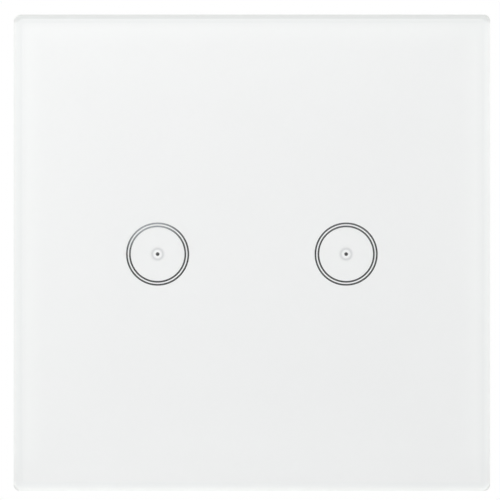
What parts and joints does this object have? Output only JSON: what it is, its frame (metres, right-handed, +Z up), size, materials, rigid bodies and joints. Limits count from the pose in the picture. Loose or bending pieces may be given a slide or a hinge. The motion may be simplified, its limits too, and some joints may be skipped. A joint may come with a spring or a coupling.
{
  "type": "smart light switch",
  "caption": "Square glass-fronted touch switch for lights: snap-off bevelled panel on a slotted wall base, with relays, supply and screw terminals in its rear box.",
  "frame": {"origin": "centre of the two wall screw slots, on the wall plane", "axes": "+Y into the wall, +Z up, +X to the right as seen from the room; the glass faces -Y"},
  "size_m": [0.086, 0.036, 0.086],
  "materials": {
    "clear_glass": "polished float glass with a faint green edge",
    "white_film": "white backing seen through the glass",
    "dark_print": "fine dark screen print",
    "window_print": "smoked print over the lamp",
    "foam_tape": "white double-sided tape",
    "white_abs": "moulded white ABS, fine spark texture",
    "housing_pc": "moulded flame-retardant polycarbonate",
    "zinc_screw": "zinc-plated steel",
    "board_laminate": "glass-epoxy laminate with green resist",
    "gilt_spring": "gilt spring wire",
    "black_plastic": "moulded black nylon",
    "led_resin": "milky epoxy lens",
    "tinned_sheet": "tin-plated sheet",
    "chip_resin": "black moulding compound",
    "relay_cover": "moulded blue polyester",
    "relay_base_pbt": "moulded black PBT",
    "nylon_white": "natural nylon",
    "copper_wire": "enamelled copper wire, wound",
    "soft_iron": "nickel-plated soft iron",
    "contact_alloy": "rolled copper alloy",
    "ferrite": "sintered ferrite",
    "yellow_tape": "polyester winding tape",
    "can_sleeve": "shrunk PVC sleeve",
    "varistor_lacquer": "dipped epoxy lacquer",
    "resistor_lacquer": "flameproof lacquer",
    "terminal_nylon": "moulded green nylon",
    "tinned_brass": "tin-flashed brass"
  },
  "bodies": {
    "switch_base": {"base_frame": "white_abs", "rear_housing": "housing_pc", "housing_screws": "zinc_screw", "board_screws": "zinc_screw", "touch_board": "board_laminate", "touch_spring_left": "gilt_spring", "touch_spring_right": "gilt_spring", "led_left": "led_resin", "led_right": "led_resin", "light_tunnel_left": "black_plastic", "light_tunnel_right": "black_plastic", "wifi_module": "board_laminate", "wifi_shield_can": "tinned_sheet", "touch_chip": "chip_resin", "header_socket": "black_plastic", "header_pins": "black_plastic", "power_board": "board_laminate", "power_chip": "chip_resin", "transformer_core": "ferrite", "transformer_winding": "yellow_tape", "transformer_base": "black_plastic", "filter_inductor": "ferrite", "input_capacitor": "can_sleeve", "output_capacitor": "can_sleeve", "varistor": "varistor_lacquer", "fuse_resistor": "resistor_lacquer", "terminal_block": "terminal_nylon", "terminal_plates": "tinned_brass", "relay_left_case": "relay_cover", "relay_left_base": "relay_base_pbt", "relay_left_bobbin": "nylon_white", "relay_left_coil": "copper_wire", "relay_left_yoke": "soft_iron", "relay_left_contacts": "contact_alloy", "relay_right_case": "relay_cover", "relay_right_base": "relay_base_pbt", "relay_right_bobbin": "nylon_white", "relay_right_coil": "copper_wire", "relay_right_yoke": "soft_iron", "relay_right_contacts": "contact_alloy"},
    "front_panel": {"glass_panel": "clear_glass", "backing_film": "white_film", "touch_ring_marks": "dark_print", "indicator_windows": "window_print", "adhesive_ring": "foam_tape", "panel_frame": "white_abs", "frame_snap_hooks": "white_abs"},
    "relay_left_armature": {"relay_left_armature": "soft_iron", "relay_left_contact_blade": "contact_alloy"},
    "relay_right_armature": {"relay_right_armature": "soft_iron", "relay_right_contact_blade": "contact_alloy"},
    "terminal_screw_1": {"terminal_screw_1": "zinc_screw"},
    "terminal_cage_1": {"terminal_cage_1": "tinned_brass"},
    "terminal_screw_2": {"terminal_screw_2": "zinc_screw"},
    "terminal_cage_2": {"terminal_cage_2": "tinned_brass"},
    "terminal_screw_3": {"terminal_screw_3": "zinc_screw"},
    "terminal_cage_3": {"terminal_cage_3": "tinned_brass"},
    "terminal_screw_4": {"terminal_screw_4": "zinc_screw"},
    "terminal_cage_4": {"terminal_cage_4": "tinned_brass"}
  },
  "joints": [
    {"name": "panel_pull_off", "type": "slide", "parent": "switch_base", "child": "front_panel", "axis": [0, -1, 0], "range_m": [0, 0.03], "deforming": ["frame_snap_hooks", "touch_spring_left", "touch_spring_right"]},
    {"name": "terminal_cage_1_rise", "type": "slide", "parent": "switch_base", "child": "terminal_cage_1", "axis": [0, 1, 0], "range_m": [0, 0.003]},
    {"name": "terminal_screw_1_turn", "type": "hinge", "parent": "switch_base", "child": "terminal_screw_1", "pos_m": [-0.0129, 0.0209, -0.0196], "axis": [0, -1, 0], "range_deg": [0, 2175]},
    {"name": "terminal_cage_2_rise", "type": "slide", "parent": "switch_base", "child": "terminal_cage_2", "axis": [0, 1, 0], "range_m": [0, 0.003]},
    {"name": "terminal_screw_2_turn", "type": "hinge", "parent": "switch_base", "child": "terminal_screw_2", "pos_m": [-0.0043, 0.0209, -0.0196], "axis": [0, -1, 0], "range_deg": [0, 2175]},
    {"name": "terminal_cage_3_rise", "type": "slide", "parent": "switch_base", "child": "terminal_cage_3", "axis": [0, 1, 0], "range_m": [0, 0.003]},
    {"name": "terminal_screw_3_turn", "type": "hinge", "parent": "switch_base", "child": "terminal_screw_3", "pos_m": [0.0043, 0.0209, -0.0196], "axis": [0, -1, 0], "range_deg": [0, 2175]},
    {"name": "terminal_cage_4_rise", "type": "slide", "parent": "switch_base", "child": "terminal_cage_4", "axis": [0, 1, 0], "range_m": [0, 0.003]},
    {"name": "terminal_screw_4_turn", "type": "hinge", "parent": "switch_base", "child": "terminal_screw_4", "pos_m": [0.0129, 0.0209, -0.0196], "axis": [0, -1, 0], "range_deg": [0, 2175]},
    {"name": "relay_left_pull_in", "type": "hinge", "parent": "switch_base", "child": "relay_left_armature", "pos_m": [-0.0135, 0.0158, -0.007], "axis": [1, 0, 0], "range_deg": [0, 3.2], "stiffness_Nm_per_rad": 0.002, "springref_deg": -17.19},
    {"name": "relay_right_pull_in", "type": "hinge", "parent": "switch_base", "child": "relay_right_armature", "pos_m": [0.0021, 0.0158, -0.007], "axis": [1, 0, 0], "range_deg": [0, 3.2], "stiffness_Nm_per_rad": 0.002, "springref_deg": -17.19}
  ],
  "couplings": [
    {"joint": "terminal_screw_1_turn", "follows": "terminal_cage_1_rise", "rad_per_m": 12566},
    {"joint": "terminal_screw_2_turn", "follows": "terminal_cage_2_rise", "rad_per_m": 12566},
    {"joint": "terminal_screw_3_turn", "follows": "terminal_cage_3_rise", "rad_per_m": 12566},
    {"joint": "terminal_screw_4_turn", "follows": "terminal_cage_4_rise", "rad_per_m": 12566}
  ]
}
